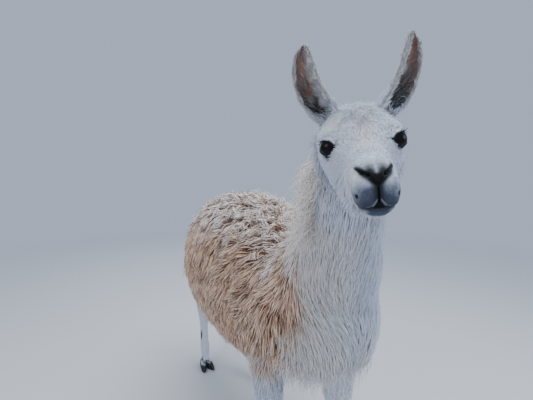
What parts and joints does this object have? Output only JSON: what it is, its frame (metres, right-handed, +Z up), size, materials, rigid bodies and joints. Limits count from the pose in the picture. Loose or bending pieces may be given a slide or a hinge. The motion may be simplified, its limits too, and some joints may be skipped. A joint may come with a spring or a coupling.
{
  "type": "llama, standing, life-size still model",
  "caption": "Life-size still model of a woolly white and fawn llama, standing on its feet with its neck stretched forward and its head turned.",
  "frame": {"origin": "middle of the whole model's footprint box, at the level of the soles", "axes": "-Y is forward, from the tail to the breast; +X is the animal's left; +Z is up"},
  "size_m": [0.598, 1.7966, 1.5076],
  "materials": {
    "white_wool": "long hanging white wool",
    "fawn_fleece": "fawn fleece in locks, frosted with cream along the back",
    "short_hair": "short flat white hair",
    "ear_hair": "white short hair outside, dark brown inside",
    "eye": "glossy near-black",
    "foot_skin": "dark bare skin of the toes and pads",
    "nail": "dark horn"
  },
  "bodies": {
    "root": {"trunk": "fawn_fleece", "head": "short_hair", "neck": "white_wool", "tail": "white_wool", "eye_right": "eye", "eye_left": "eye", "ear_right": "ear_hair", "ear_left": "ear_hair", "fore_right_upper": "short_hair", "fore_right_lower": "short_hair", "fore_right_foot": "foot_skin", "fore_right_nail_right": "nail", "fore_right_nail_left": "nail", "fore_left_upper": "short_hair", "fore_left_lower": "short_hair", "fore_left_foot": "foot_skin", "fore_left_nail_right": "nail", "fore_left_nail_left": "nail", "hind_right_upper": "short_hair", "hind_right_lower": "short_hair", "hind_right_foot": "foot_skin", "hind_right_nail_right": "nail", "hind_right_nail_left": "nail", "hind_left_upper": "short_hair", "hind_left_lower": "short_hair", "hind_left_foot": "foot_skin", "hind_left_nail_right": "nail", "hind_left_nail_left": "nail"}
  },
  "joints": []
}
